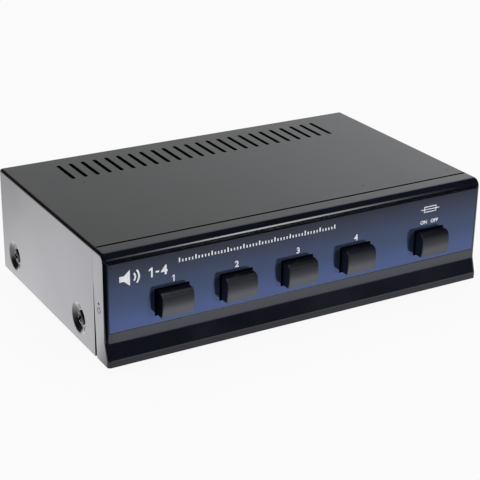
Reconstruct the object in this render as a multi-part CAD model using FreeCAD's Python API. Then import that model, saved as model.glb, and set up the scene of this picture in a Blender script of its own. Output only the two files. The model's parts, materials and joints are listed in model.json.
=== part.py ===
import FreeCAD, Part
import os
from FreeCAD import Vector

# Speaker selector switch: a sheet-steel case with a plastic front bezel, four speaker buttons
# and a protection button, and five blocks of spring terminals across the back.
# Millimetres. While modelling, x runs across the width from its middle, y runs back from the
# face of the front panel, and z runs up from the bottom edge of the cover. save() moves the
# origin to the middle of the footprint, at the height of the surface the feet stand on.

# Case
body_width = 200.0
body_height = 51.7
body_depth = 120.8
sheet = 1.0
fold_clearance = 0.1

# Top cover
cover_front = 11.3
cover_bend = 1.6
vent_count = 24
vent_pitch = 6.38
vent_width = 2.0
vent_length = 20.3
vent_rear_margin = 9.1

# Screw dimples in the cover's sides
dimple_front_y = 28.5
dimple_rear_margin = 14.8
dimple_z = 11.0
dimple_mouth_radius = 7.0
dimple_floor_radius = 5.4
dimple_depth = 1.8
cover_screw_radius = 2.0
cover_screw_head_radius = 3.8
cover_screw_head_height = 1.7
cover_screw_length = 8.0

# Chassis pan
pan_flange_height = 22.0
pan_lip_depth = 6.0
pan_corner_relief = 2.0
pan_collar_radius = 3.2
pan_collar_length = 1.5
rear_wall_inset = 0.6

# Front bezel
bezel_wall = 2.0
bezel_top_radius = 4.0
bezel_groove_width = 1.2
bezel_groove_depth = 0.9
bezel_top_seam = 1.2
bezel_side_seam = 0.1
bezel_side_gap_bottom = 1.8
bezel_side_gap_top_z = 36.0
bezel_lip_height = 3.1
bezel_lip_reach = 2.34
bezel_flare_top_z = 10.7
bezel_boss_radius = 3.0
bezel_boss_inset = 10.0
bezel_boss_low_z = 8.0
bezel_boss_top_drop = 9.7
bezel_screw_radius = 1.25
bezel_screw_length = 8.0
side_mark_y = 6.0
side_ring_z = 24.4
side_ring_radius = 1.7
side_ring_inner_radius = 1.2
side_ring_depth = 0.15
side_hole_z = 27.6
side_hole_radius = 0.6
side_hole_depth = 0.8

# Front label, laid in a pocket of the bezel
label_side_inset = 1.9
label_bottom_z = 15.3
label_top_z = 47.2
label_thickness = 0.5
label_clearance = 0.1

# Buttons
button_width = 15.7
button_height = 11.6
button_bottom_z = 19.6
button_first_inset = 32.0
button_pitch = 31.9
speaker_button_count = 4
protection_button_inset = 29.7
button_reach = 6.5
button_crown = 1.2
button_top_radius = 3.0
button_edge_radius = 0.5
button_wall = 1.5
button_opening_clearance = 0.6
button_travel = 4.0
button_skirt_clearance = 0.3
button_boss_size = 6.0
button_boss_setback = 2.2
socket_depth = 6.6

# Push switches behind the buttons
housing_width = 13.0
housing_length = 30.0
housing_height = 9.6
housing_gap = 0.4
housing_front_wall = 2.0
housing_rear_wall = 1.5
housing_floor = 2.2
housing_roof = 1.6
slider_width = 8.0
slider_length = 20.0
slide_clearance = 0.1
stem_size = 3.0
nose_hole_width = 12.0
nose_hole_height = 9.0
spring_radius = 2.55
spring_wire_radius = 0.25
spring_turns = 5
spring_end_gap = 0.03
pin_columns = 2
pin_rows = 6
pin_row_pitch = 4.0
pin_column_pitch = 6.4
pin_width = 1.0
pin_thickness = 0.5
pin_length = 4.0
pin_hole_radius = 0.8
latch_wire_radius = 0.4
latch_length = 16.0
latch_first_y = 9.4
latch_reach = 2.6
latch_groove_width = 1.2
latch_groove_length = 6.4

# Main board
board_side_gap = 4.15
board_thickness = 1.6
board_front_gap = 1.0
board_rear_gap = 4.0
standoff_radius = 3.2
standoff_spigot_radius = 2.2
standoff_side_gap = 10.15
standoff_front_gap = 1.4
standoff_rear_margin = 10.0
board_screw_radius = 1.5
board_screw_length = 8.0
screw_head_radius = 2.8
screw_head_height = 1.8
recess_width = 0.7
recess_depth = 0.9

# Protection resistors
resistor_length = 48.0
resistor_width = 10.0
resistor_height = 10.0
resistor_x = 42.0
resistor_rear_margin = 26.0
lead_radius = 0.4
lead_inset = 4.0
lead_length = 3.5

# Rear terminal blocks
terminal_count = 5
terminal_side_margin = 1.75
terminal_gap = 1.7
terminal_flange_border = 1.0
terminal_body_height = 24.0
terminal_inner_depth = 12.2
terminal_flange_height = 34.4
terminal_flange_thickness = 2.0
terminal_centre_z = 26.0
terminal_cutout_clearance = 0.1
terminal_screw_offset = 14.4
terminal_screw_radius = 1.3
terminal_screw_length = 7.0
ways = 4
terminal_end_wall = 1.3
way_partition = 1.4
pocket_depth = 10.2
pocket_top = 10.0
pocket_bottom = 5.8
wire_chamber_depth = 4.0
wire_chamber_bottom = 11.0
wire_hole_drop = 9.4
wire_hole_radius = 1.7
wire_mouth_radius = 2.5
wire_mouth_depth = 1.0
leaf_width = 5.0
leaf_thickness = 0.5
leaf_margin = 0.4
tail_width = 2.0
tail_z_offset = 2.0
tail_reach = 6.5
tail_below_board = 2.0
tail_hole_radius = 1.2

# Terminal levers
lever_side_clearance = 0.15
lever_pin_radius = 0.9
lever_pin_clearance = 0.05
lever_pin_overhang = 0.6
lever_hub_radius = 1.7
pivot_inset = 3.2
pivot_drop = 2.0
lever_shoulder_reach = 1.2
lever_shoulder_rise = 1.0
lever_thumb_reach = 5.4
lever_thumb_drop = 9.4
lever_foot_drop = 11.4
lever_nose_setback = 2.8
lever_thickness = 0.4

# Rubber feet
foot_radius = 6.35
foot_height = 3.0
foot_edge_radius = 0.6
foot_side_inset = 18.0
foot_end_inset = 13.0

# Worked out from the sizes above
half_width = body_width / 2
inner_half_width = half_width - sheet
inner_top_z = body_height - sheet
pan_half_width = inner_half_width - dimple_depth - fold_clearance / 2
pan_top_z = inner_top_z - fold_clearance
pan_front = cover_front - fold_clearance
pan_front_inside = pan_front + sheet
rear_face = body_depth - rear_wall_inset
rear_inside = rear_face - sheet
axis_z = button_bottom_z + button_height / 2
button_skirt_end = pan_front - button_travel - button_skirt_clearance
button_boss_end = button_skirt_end - button_boss_setback
stem_start = button_boss_end - socket_depth
housing_front = pan_front_inside + housing_gap
housing_rear = housing_front + housing_length
cavity_front = housing_front + housing_front_wall
slider_front = cavity_front + slide_clearance
slider_bottom_z = axis_z - housing_height / 2 + housing_floor + slide_clearance
slider_top_z = axis_z + housing_height / 2 - housing_roof - slide_clearance
board_top_z = axis_z - housing_height / 2
board_bottom_z = board_top_z - board_thickness
block_face = rear_face + terminal_flange_thickness
block_inside = rear_face - terminal_inner_depth
pocket_floor = block_face - pocket_depth
label_width = body_width - 2 * label_side_inset
board_width = 2 * (pan_half_width - sheet - board_side_gap)
board_rear_y = block_inside - board_rear_gap
resistor_y = board_rear_y - resistor_rear_margin
bezel_boss_x = half_width - bezel_boss_inset
bezel_boss_high_z = body_height - bezel_boss_top_drop
terminal_row_width = 2 * (pan_half_width - terminal_side_margin)
terminal_flange_width = (terminal_row_width - (terminal_count - 1) * terminal_gap) / terminal_count
terminal_pitch = terminal_flange_width + terminal_gap
terminal_body_width = terminal_flange_width - 2 * terminal_flange_border
pocket_row_width = terminal_body_width - 2 * terminal_end_wall
pocket_width = (pocket_row_width - (ways - 1) * way_partition) / ways
way_pitch = pocket_width + way_partition
pivot_y = block_face - pivot_inset
pivot_z = terminal_centre_z + pocket_top - pivot_drop
dimple_ys = [dimple_front_y, body_depth - dimple_rear_margin]
front_y = -button_reach
back_y = block_face + lever_thumb_reach
origin_shift = Vector(0, -(front_y + back_y) / 2, foot_height)

button_names = ["button_" + str(i + 1) for i in range(speaker_button_count)] + ["protection_button"]
button_xs = [button_first_inset - half_width + i * button_pitch for i in range(speaker_button_count)]
button_xs.append(half_width - protection_button_inset)
block_xs = [(i - (terminal_count - 1) / 2) * terminal_pitch for i in range(terminal_count)]
way_offsets = [(i - (ways - 1) / 2) * way_pitch for i in range(ways)]

along_x = Vector(1, 0, 0)
along_y = Vector(0, 1, 0)
along_z = Vector(0, 0, 1)
past = 1.0


def block(x0, x1, y0, y1, z0, z1):
    return Part.makeBox(x1 - x0, y1 - y0, z1 - z0, Vector(x0, y0, z0))


def centred(x, width, y0, y1, z, height):
    return block(x - width / 2, x + width / 2, y0, y1, z - height / 2, z + height / 2)


def rod(x, y, z, direction, radius, length):
    return Part.makeCylinder(radius, length, Vector(x, y, z), direction)


def taper(x, y, z, direction, radius_start, radius_end, length):
    return Part.makeCone(radius_start, radius_end, length, Vector(x, y, z), direction)


def prism(outline, x0, x1):
    # a closed outline of (y, z) points, drawn out from x0 to x1
    points = [Vector(x0, y, z) for y, z in outline]
    wire = Part.makePolygon(points + points[:1])
    return Part.Face(wire).extrude(along_x * (x1 - x0))


def join(shapes):
    return shapes[0].multiFuse(shapes[1:]).removeSplitter()


def rounded(shape, radius, wanted):
    # fillets the straight or curved edges whose middle point passes the test
    edges = [e for e in shape.Edges if wanted(e.CenterOfMass)]
    return shape.makeFillet(radius, edges)


def pan_head_screw(x, y, z, direction, shank_radius, length, head_radius, head_height):
    # a cross-recessed screw whose head's underside is at the point; direction is the way it goes in
    side = along_x if abs(direction.x) < 0.5 else along_y
    head = rod(x, y, z, direction * -1, head_radius, head_height)
    head = head.makeFillet(head_height * 0.4, [head.Edges[0]])
    shank = rod(x, y, z, direction, shank_radius, length)
    screw = join([head, shank])
    reach = head_radius * 0.6
    top = Vector(x, y, z) - direction * head_height
    other = direction.cross(side)
    for u, v in ((side, other), (other, side)):
        corner = top - u * reach - v * (recess_width / 2)
        far = top + u * reach + v * (recess_width / 2) + direction * recess_depth
        low = Vector(min(corner.x, far.x), min(corner.y, far.y), min(corner.z, far.z))
        high = Vector(max(corner.x, far.x), max(corner.y, far.y), max(corner.z, far.z))
        screw = screw.cut(block(low.x, high.x, low.y, high.y, low.z, high.z))
    return screw


def save(name, shapes):
    moved = [s.copy() for s in shapes]
    for s in moved:
        s.translate(origin_shift)
    shape = moved[0] if len(moved) == 1 else Part.makeCompound(moved)
    shape.exportStep("parts/" + name + ".step")
    print(name, len(shape.Solids), "solid(s)", round(shape.Volume, 1), "mm3", shape.isValid())


def top_cover():
    top_edge = body_height - past * 0.5

    def upper_corner(p):
        return abs(p.y - (cover_front + body_depth) / 2) < past and p.z > top_edge - past

    outer = block(-half_width, half_width, cover_front, body_depth, 0, body_height)
    outer = rounded(outer, cover_bend, lambda p: upper_corner(p) and abs(p.x) > half_width - past)
    inner = block(-inner_half_width, inner_half_width, cover_front, body_depth, -past, inner_top_z)
    inner_bend = cover_bend - sheet
    if inner_bend > 0:
        inner = rounded(inner, inner_bend, lambda p: upper_corner(p) and abs(p.x) > half_width / 2)
    cover = outer.cut(inner)
    for side in (-1, 1):
        inward = along_x * -side
        for y in dimple_ys:
            boss = taper(side * inner_half_width, y, dimple_z, inward,
                         dimple_mouth_radius, dimple_floor_radius + sheet / 2, dimple_depth)
            hollow = taper(side * half_width, y, dimple_z, inward,
                           dimple_mouth_radius, dimple_floor_radius, dimple_depth)
            hole = rod(side * half_width, y, dimple_z, inward,
                       cover_screw_radius + fold_clearance, dimple_depth + sheet + past)
            cover = cover.fuse(boss).cut([hollow, hole])
    vent_rear = body_depth - vent_rear_margin
    vent_front = vent_rear - vent_length
    vents = []
    for i in range(vent_count):
        x = (i - (vent_count - 1) / 2) * vent_pitch
        r = vent_width / 2
        low = inner_top_z - past
        deep = sheet + 2 * past
        vents.append(block(x - r, x + r, vent_front + r, vent_rear - r, low, low + deep))
        vents.append(rod(x, vent_front + r, low, along_z, r, deep))
        vents.append(rod(x, vent_rear - r, low, along_z, r, deep))
    return cover.cut(vents)


def chassis_pan():
    lip_x = pan_half_width - pan_corner_relief
    pieces = [block(-pan_half_width, pan_half_width, pan_front, rear_face, 0, sheet),
              block(-pan_half_width, pan_half_width, pan_front, pan_front_inside, 0, pan_top_z),
              block(-pan_half_width, pan_half_width, rear_inside, rear_face, 0, pan_top_z),
              block(-lip_x, lip_x, pan_front, pan_front_inside + pan_lip_depth,
                    pan_top_z - sheet, pan_top_z),
              block(-lip_x, lip_x, rear_inside - pan_lip_depth, rear_face,
                    pan_top_z - sheet, pan_top_z)]
    for side in (-1, 1):
        outer = side * pan_half_width
        inner = side * (pan_half_width - sheet)
        pieces.append(block(min(outer, inner), max(outer, inner),
                            pan_front_inside + pan_corner_relief, rear_inside - pan_corner_relief,
                            0, pan_flange_height))
        for y in dimple_ys:
            pieces.append(rod(inner, y, dimple_z, along_x * -side, pan_collar_radius, pan_collar_length))
    cuts = []
    for side in (-1, 1):
        for y in dimple_ys:
            cuts.append(rod(side * half_width, y, dimple_z, along_x * -side, cover_screw_radius,
                            half_width - pan_half_width + sheet + pan_collar_length + past))
    for x in button_xs:
        cuts.append(centred(x, nose_hole_width, pan_front - past, pan_front_inside + past,
                            axis_z, nose_hole_height))
    for x, z in bezel_screw_places():
        cuts.append(rod(x, pan_front - past, z, along_y, bezel_screw_radius + fold_clearance,
                        sheet + 2 * past))
    for x in block_xs:
        cuts.append(centred(x, terminal_body_width + 2 * terminal_cutout_clearance,
                            rear_inside - past, rear_face + past, terminal_centre_z,
                            terminal_body_height + 2 * terminal_cutout_clearance))
        for z in terminal_screw_zs():
            cuts.append(rod(x, rear_inside - past, z, along_y, terminal_screw_radius, sheet + 2 * past))
    for x, y in standoff_places():
        cuts.append(rod(x, y, -past, along_z, standoff_spigot_radius, sheet + 2 * past))
    return join(pieces).cut(cuts)


def bezel_screw_places():
    return [(side * bezel_boss_x, z) for side in (-1, 1) for z in (bezel_boss_low_z, bezel_boss_high_z)]


def terminal_screw_zs():
    return [terminal_centre_z - terminal_screw_offset, terminal_centre_z + terminal_screw_offset]


def standoff_places():
    # one at each side and one between the last two speaker buttons, behind the switches and at the rear
    side_x = pan_half_width - sheet - standoff_side_gap
    middle_x = (button_xs[speaker_button_count - 2] + button_xs[speaker_button_count - 1]) / 2
    ys = (housing_rear + standoff_front_gap, board_rear_y - standoff_rear_margin)
    return [(x, y) for x in (-side_x, middle_x, side_x) for y in ys]


def front_bezel():
    rear = pan_front
    outline = [(rear, 0), (-bezel_lip_reach, 0), (-bezel_lip_reach, bezel_lip_height),
               (0, bezel_flare_top_z), (0, body_height), (rear, body_height)]
    shell = prism(outline, -half_width, half_width)
    shell = rounded(shell, bezel_top_radius,
                    lambda p: abs(p.y) < past / 2 and p.z > body_height - past)
    shell = rounded(shell, cover_bend,
                    lambda p: abs(p.x) > half_width - past / 2 and p.y < rear - past and p.z > past)
    inner_top = body_height - bezel_wall
    hollow = prism([(rear + past, bezel_wall), (bezel_wall - bezel_lip_reach, bezel_wall),
                    (bezel_wall - bezel_lip_reach, bezel_lip_height),
                    (bezel_wall, bezel_flare_top_z), (bezel_wall, inner_top),
                    (rear + past, inner_top)],
                   bezel_wall - half_width, half_width - bezel_wall)
    bezel = shell.cut(hollow)
    bosses = [rod(x, bezel_wall / 2, z, along_y, bezel_boss_radius, rear - bezel_wall / 2)
              for x, z in bezel_screw_places()]
    bezel = bezel.multiFuse(bosses)
    top_seam_front = cover_front - bezel_top_seam
    flat_x = half_width - cover_bend
    cuts = [block(-flat_x, flat_x, top_seam_front, rear + past,
                  body_height - bezel_wall, body_height + past)]
    for side in (-1, 1):
        edge = side * half_width
        inward = side * (half_width - bezel_wall)
        wedge = [(cover_front - bezel_side_seam, bezel_side_gap_top_z),
                 (cover_front - bezel_side_gap_bottom, 0),
                 (cover_front - bezel_side_gap_bottom, -past),
                 (rear + past, -past), (rear + past, bezel_side_gap_top_z)]
        cuts.append(prism(wedge, min(edge + side * past, inward), max(edge + side * past, inward)))
        ring = rod(edge + side * past, side_mark_y, side_ring_z, along_x * -side,
                   side_ring_radius, side_ring_depth + past)
        island = rod(edge + side * past, side_mark_y, side_ring_z, along_x * -side,
                     side_ring_inner_radius, side_ring_depth + past)
        cuts.append(ring.cut(island))
        cuts.append(rod(edge + side * past, side_mark_y, side_hole_z, along_x * -side,
                        side_hole_radius, side_hole_depth + past))
    cuts.append(block(-label_width / 2 - label_clearance, label_width / 2 + label_clearance,
                      -past, label_thickness,
                      label_bottom_z - label_clearance, label_top_z + label_clearance))
    cuts.append(block(-label_width / 2, label_width / 2, -past, bezel_groove_depth,
                      label_top_z, label_top_z + label_clearance + bezel_groove_width))
    for x in button_xs:
        cuts.append(button_opening(x, bezel_wall + past))
    for x, z in bezel_screw_places():
        cuts.append(rod(x, rear + past, z, along_y * -1, bezel_screw_radius, bezel_screw_length + past))
    return bezel.cut(cuts)


def button_opening(x, rear):
    return centred(x, button_width + 2 * button_opening_clearance, -past, rear,
                   axis_z, button_height + 2 * button_opening_clearance)


def front_label():
    label = block(-label_width / 2, label_width / 2, 0, label_thickness, label_bottom_z, label_top_z)
    return label.cut([button_opening(x, label_thickness + past) for x in button_xs])


def button(x):
    top_z = button_bottom_z + button_height
    edge_y = button_crown - button_reach
    x0 = x - button_width / 2
    low_front = Vector(x0, edge_y, button_bottom_z)
    high_front = Vector(x0, edge_y, top_z)
    low_rear = Vector(x0, button_skirt_end, button_bottom_z)
    high_rear = Vector(x0, button_skirt_end, top_z)
    crown = Part.Arc(low_front, Vector(x0, -button_reach, axis_z), high_front)
    sides = [Part.LineSegment(high_front, high_rear), Part.LineSegment(high_rear, low_rear),
             Part.LineSegment(low_rear, low_front)]
    outline = Part.Wire([crown.toShape()] + [s.toShape() for s in sides])
    cap = Part.Face(outline).extrude(along_x * button_width)
    cap = rounded(cap, button_top_radius,
                  lambda p: p.y < edge_y + past / 2 and p.z > top_z - past / 2)
    cap = rounded(cap, button_edge_radius,
                  lambda p: p.y < edge_y + past / 2 and abs(p.x - x) > button_width / 2 - past / 2)
    hollow = centred(x, button_width - 2 * button_wall, edge_y + button_wall, button_skirt_end + past,
                     axis_z, button_height - 2 * button_wall)
    boss = centred(x, button_boss_size, edge_y + button_wall / 2, button_boss_end,
                   axis_z, button_boss_size)
    socket = centred(x, stem_size, stem_start, button_boss_end + past, axis_z, stem_size)
    return cap.cut(hollow).fuse(boss).cut(socket)


def plunger(x):
    stem = centred(x, stem_size, stem_start, slider_front + past, axis_z, stem_size)
    slider = block(x - slider_width / 2, x + slider_width / 2, slider_front,
                   slider_front + slider_length, slider_bottom_z, slider_top_z)
    groove_front = housing_front + latch_first_y - latch_groove_length + latch_groove_width / 2
    groove = block(x - latch_groove_width / 2, x + latch_groove_width / 2,
                   groove_front, groove_front + latch_groove_length,
                   slider_top_z - latch_reach + housing_roof, slider_top_z + past)
    return join([stem, slider]).cut(groove)


def switch_housing(x):
    shell = centred(x, housing_width, housing_front, housing_rear, axis_z, housing_height)
    cavity = block(x - slider_width / 2 - slide_clearance, x + slider_width / 2 + slide_clearance,
                   cavity_front, housing_rear - housing_rear_wall,
                   slider_bottom_z - slide_clearance, slider_top_z + slide_clearance)
    nose = centred(x, stem_size + 2 * slide_clearance, housing_front - past, cavity_front + past,
                   axis_z, stem_size + 2 * slide_clearance)
    channel_r = latch_wire_radius + slide_clearance
    roof_z = axis_z + housing_height / 2
    latch_front = housing_front + latch_first_y
    channel = block(x - channel_r, x + channel_r, latch_front - channel_r,
                    latch_front + latch_length + channel_r,
                    roof_z - 2 * latch_wire_radius - slide_clearance, roof_z + past)
    slot = rod(x, latch_front, roof_z - housing_roof - past, along_z, channel_r, housing_roof + past)
    return shell.cut([cavity, nose, channel, slot] + switch_pins(x))


def switch_pins(x):
    pins = []
    span = (pin_rows - 1) * pin_row_pitch
    first_y = (housing_front + housing_rear) / 2 - span / 2
    for column in range(pin_columns):
        px = x + (column - (pin_columns - 1) / 2) * pin_column_pitch
        for row in range(pin_rows):
            y = first_y + row * pin_row_pitch
            pins.append(block(px - pin_width / 2, px + pin_width / 2,
                              y - pin_thickness / 2, y + pin_thickness / 2,
                              board_top_z - pin_length, slider_bottom_z - slide_clearance))
    return pins


def latch_pin(x):
    # a wire hook lying in the housing's roof, its front end down in the slider's groove
    z = axis_z + housing_height / 2 - latch_wire_radius
    y = housing_front + latch_first_y
    hook = rod(x, y, z, along_z * -1, latch_wire_radius, latch_reach - latch_wire_radius)
    bar = rod(x, y, z, along_y, latch_wire_radius, latch_length)
    knuckle = Part.makeSphere(latch_wire_radius, Vector(x, y, z))
    return join([hook, bar, knuckle])


def return_spring(x):
    # each half turn is half a ring, tilted so that it meets the next one square on
    low = button_boss_end + spring_wire_radius + spring_end_gap
    high = housing_front - spring_wire_radius - spring_end_gap
    half_pitch = (high - low) / (2 * spring_turns)
    halves = []
    for i in range(2 * spring_turns):
        side = -1 if i % 2 else 1
        start = Vector(x + side * spring_radius, low + i * half_pitch, axis_z)
        end = Vector(x - side * spring_radius, low + (i + 1) * half_pitch, axis_z)
        wire_end = Part.Face(Part.Wire(Part.makeCircle(spring_wire_radius, start, along_z)))
        halves.append(wire_end.revolve((start + end) * 0.5, (end - start).cross(along_z) * side, 180))
    return halves[0].multiFuse(halves[1:]).Solids[0]


def main_board():
    board = block(-board_width / 2, board_width / 2, pan_front_inside + board_front_gap, board_rear_y,
                  board_bottom_z, board_top_z)
    low = board_bottom_z - past
    deep = board_thickness + 2 * past
    cuts = []
    for x in button_xs:
        for pin in switch_pins(x):
            middle = pin.CenterOfMass
            cuts.append(rod(middle.x, middle.y, low, along_z, pin_hole_radius, deep))
    for x, y in standoff_places():
        cuts.append(rod(x, y, low, along_z, board_screw_radius + fold_clearance, deep))
    for x in block_xs:
        for offset in way_offsets:
            cuts.append(rod(x + offset, tail_pin_y(), low, along_z, tail_hole_radius, deep))
    for side in (-1, 1):
        for x in lead_xs(side):
            cuts.append(rod(x, resistor_y, low, along_z, lead_radius + fold_clearance, deep))
    return board.cut(cuts)


def board_standoff(x, y):
    post = rod(x, y, sheet, along_z, standoff_radius, board_bottom_z - sheet)
    spigot = rod(x, y, 0, along_z, standoff_spigot_radius, sheet)
    thread = rod(x, y, board_bottom_z + past, along_z * -1, board_screw_radius,
                 board_screw_length + past)
    return join([post, spigot]).cut(thread)


def lead_xs(side):
    half = resistor_length / 2 - lead_inset
    return [side * resistor_x - half, side * resistor_x + half]


def protection_resistor(side):
    body = block(side * resistor_x - resistor_length / 2, side * resistor_x + resistor_length / 2,
                 resistor_y - resistor_width / 2, resistor_y + resistor_width / 2,
                 board_top_z, board_top_z + resistor_height)
    leads = [rod(x, resistor_y, board_top_z, along_z * -1, lead_radius, lead_length)
             for x in lead_xs(side)]
    return join([body] + leads)


def terminal_block(x):
    body = centred(x, terminal_body_width, block_inside, rear_face, terminal_centre_z,
                   terminal_body_height)
    flange = centred(x, terminal_flange_width, rear_face, block_face, terminal_centre_z,
                     terminal_flange_height)
    cuts = []
    for offset in way_offsets:
        way_x = x + offset
        left = way_x - pocket_width / 2
        right = way_x + pocket_width / 2
        cuts.append(block(left, right, pocket_floor, block_face + past,
                          terminal_centre_z - pocket_bottom, terminal_centre_z + pocket_top))
        cuts.append(block(left, right, pocket_floor, pocket_floor + wire_chamber_depth,
                          terminal_centre_z - wire_chamber_bottom, terminal_centre_z))
        hole_z = terminal_centre_z - wire_hole_drop
        cuts.append(rod(way_x, pocket_floor, hole_z, along_y, wire_hole_radius, pocket_depth + past))
        cuts.append(taper(way_x, block_face - wire_mouth_depth, hole_z, along_y,
                          wire_hole_radius, wire_mouth_radius, wire_mouth_depth))
        tail_z = terminal_centre_z + tail_z_offset
        cuts.append(block(way_x - tail_width / 2, way_x + tail_width / 2, block_inside - past,
                          pocket_floor + past, tail_z, tail_z + leaf_thickness))
    bore_half = way_offsets[-1] + pocket_width / 2 + lever_pin_overhang + lever_side_clearance
    cuts.append(rod(x - bore_half, pivot_y, pivot_z, along_x,
                    lever_pin_radius + lever_pin_clearance, 2 * bore_half))
    for z in terminal_screw_zs():
        cuts.append(rod(x, rear_face - past, z, along_y, terminal_screw_radius + fold_clearance,
                        terminal_flange_thickness + 2 * past))
    return join([body, flange]).cut(cuts)


def terminal_lever(x):
    # a wedge-shaped key, pivoted at its top; its thumb end is pressed in towards the block
    width = pocket_width - 2 * lever_side_clearance
    half = width / 2
    outline = [(pivot_y, pivot_z + lever_hub_radius),
               (block_face + lever_shoulder_reach, pivot_z + lever_shoulder_rise),
               (block_face + lever_thumb_reach, pivot_z - lever_thumb_drop),
               (block_face + lever_thumb_reach - lever_thickness, pivot_z - lever_foot_drop),
               (block_face + lever_thickness, pivot_z - lever_foot_drop - lever_thickness),
               (pivot_y - lever_nose_setback, pivot_z - lever_foot_drop - lever_thickness / 2),
               (pivot_y - lever_hub_radius, pivot_z)]
    key = prism(outline, x - half, x + half)
    hub = rod(x - half, pivot_y, pivot_z, along_x, lever_hub_radius, width)
    pin = rod(x - half - lever_pin_overhang, pivot_y, pivot_z, along_x, lever_pin_radius,
              width + 2 * lever_pin_overhang)
    return join([key, hub, pin])


def tail_pin_y():
    return block_inside - tail_reach


def terminal_contact(x):
    # a leaf on the chamber's inner wall, and a tail that goes out and down through the board
    tail_z = terminal_centre_z + tail_z_offset
    leaf = block(x - leaf_width / 2, x + leaf_width / 2, pocket_floor, pocket_floor + leaf_thickness,
                 terminal_centre_z - wire_chamber_bottom + leaf_margin,
                 terminal_centre_z + pocket_top - leaf_margin)
    tail = block(x - tail_width / 2, x + tail_width / 2, tail_pin_y() - leaf_thickness / 2,
                 pocket_floor + leaf_thickness, tail_z, tail_z + leaf_thickness)
    leg = block(x - tail_width / 2, x + tail_width / 2, tail_pin_y() - leaf_thickness / 2,
                tail_pin_y() + leaf_thickness / 2, board_bottom_z - tail_below_board,
                tail_z + leaf_thickness)
    return join([leaf, tail, leg])


def rubber_foot(x, y):
    foot = rod(x, y, -foot_height, along_z, foot_radius, foot_height)
    return rounded(foot, foot_edge_radius, lambda p: p.z < past / 2 - foot_height)


def build():
    os.makedirs("parts", exist_ok=True)
    save("top_cover", [top_cover()])
    save("chassis_pan", [chassis_pan()])
    save("front_bezel", [front_bezel()])
    save("front_label", [front_label()])
    save("main_board", [main_board()])
    save("cover_screws",
         [pan_head_screw(side * (half_width - dimple_depth), y, dimple_z, along_x * -side,
                         cover_screw_radius, cover_screw_length,
                         cover_screw_head_radius, cover_screw_head_height)
          for side in (-1, 1) for y in dimple_ys])
    save("bezel_screws",
         [pan_head_screw(x, pan_front_inside, z, along_y * -1, bezel_screw_radius,
                         bezel_screw_length, screw_head_radius, screw_head_height)
          for x, z in bezel_screw_places()])
    save("board_screws",
         [pan_head_screw(x, y, board_top_z, along_z * -1, board_screw_radius,
                         board_screw_length, screw_head_radius, screw_head_height)
          for x, y in standoff_places()])
    save("terminal_screws",
         [pan_head_screw(x, block_face, z, along_y * -1, terminal_screw_radius,
                         terminal_screw_length, screw_head_radius, screw_head_height)
          for x in block_xs for z in terminal_screw_zs()])
    save("board_standoffs", [board_standoff(x, y) for x, y in standoff_places()])
    save("protection_resistors", [protection_resistor(side) for side in (-1, 1)])
    for name, x in zip(button_names, button_xs):
        save(name, [button(x)])
        save(name + "_plunger", [plunger(x)])
        save(name + "_switch_housing", [switch_housing(x)])
        save(name + "_return_spring", [return_spring(x)])
    save("switch_pins", [pin for x in button_xs for pin in switch_pins(x)])
    save("latch_pins", [latch_pin(x) for x in button_xs])
    contacts = []
    for number, x in enumerate(block_xs):
        name = "terminal_block_" + str(number + 1)
        save(name, [terminal_block(x)])
        for way, offset in enumerate(way_offsets):
            save(name + "_lever_" + str(way + 1), [terminal_lever(x + offset)])
            contacts.append(terminal_contact(x + offset))
    save("terminal_contacts", contacts)
    foot_x = half_width - foot_side_inset
    foot_ys = [pan_front + foot_end_inset, rear_face - foot_end_inset]
    save("rubber_feet", [rubber_foot(side * foot_x, y) for side in (-1, 1) for y in foot_ys])


build()
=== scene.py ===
import json
import math
import bmesh
import bpy
from mathutils import Matrix, Vector


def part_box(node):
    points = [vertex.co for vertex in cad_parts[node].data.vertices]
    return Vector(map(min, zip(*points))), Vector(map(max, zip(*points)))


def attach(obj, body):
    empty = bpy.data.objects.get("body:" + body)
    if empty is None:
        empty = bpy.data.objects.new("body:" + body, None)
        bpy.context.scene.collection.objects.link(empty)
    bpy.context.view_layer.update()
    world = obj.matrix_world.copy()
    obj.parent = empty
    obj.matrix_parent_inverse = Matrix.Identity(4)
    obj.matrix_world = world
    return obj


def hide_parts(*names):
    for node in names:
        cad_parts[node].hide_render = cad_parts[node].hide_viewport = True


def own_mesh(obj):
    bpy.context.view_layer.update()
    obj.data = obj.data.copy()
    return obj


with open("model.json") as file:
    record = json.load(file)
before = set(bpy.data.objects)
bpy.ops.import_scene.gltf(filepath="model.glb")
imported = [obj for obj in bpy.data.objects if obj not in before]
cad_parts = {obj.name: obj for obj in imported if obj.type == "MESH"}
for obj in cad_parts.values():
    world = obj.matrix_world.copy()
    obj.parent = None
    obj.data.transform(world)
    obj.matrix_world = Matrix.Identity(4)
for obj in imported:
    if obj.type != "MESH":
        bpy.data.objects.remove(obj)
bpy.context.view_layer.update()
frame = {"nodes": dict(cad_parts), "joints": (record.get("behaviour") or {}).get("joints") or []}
scene = bpy.context.scene
scene.view_settings.view_transform = "Standard"

mm = 0.001
past = 1.0 * mm             # how far a cutter reaches beyond a surface
weld = 1e-7                 # points closer than this become one
coverLow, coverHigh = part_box("top_cover")
bezelLow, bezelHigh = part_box("front_bezel")
labelLow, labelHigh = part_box("front_label")
halfWidth = coverHigh.x
baseZ = coverLow.z          # bottom edge of the case
topZ = coverHigh.z
panelY = labelLow.y         # face of the front panel
buttonNames = ["button_1", "button_2", "button_3", "button_4", "protection_button"]
blockNames = ["terminal_block_" + str(number) for number in range(1, 6)]


def middle(low, high):
    # the x and z midway between two corners
    return (low.x + high.x) / 2, (low.z + high.z) / 2


def scaled(sizes):
    # the plain numbers of a dictionary in millimetres, in metres
    return {name: value * mm for name, value in sizes.items() if isinstance(value, (int, float))}


# ---- sockets of a node tree that Python's operators work on

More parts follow.
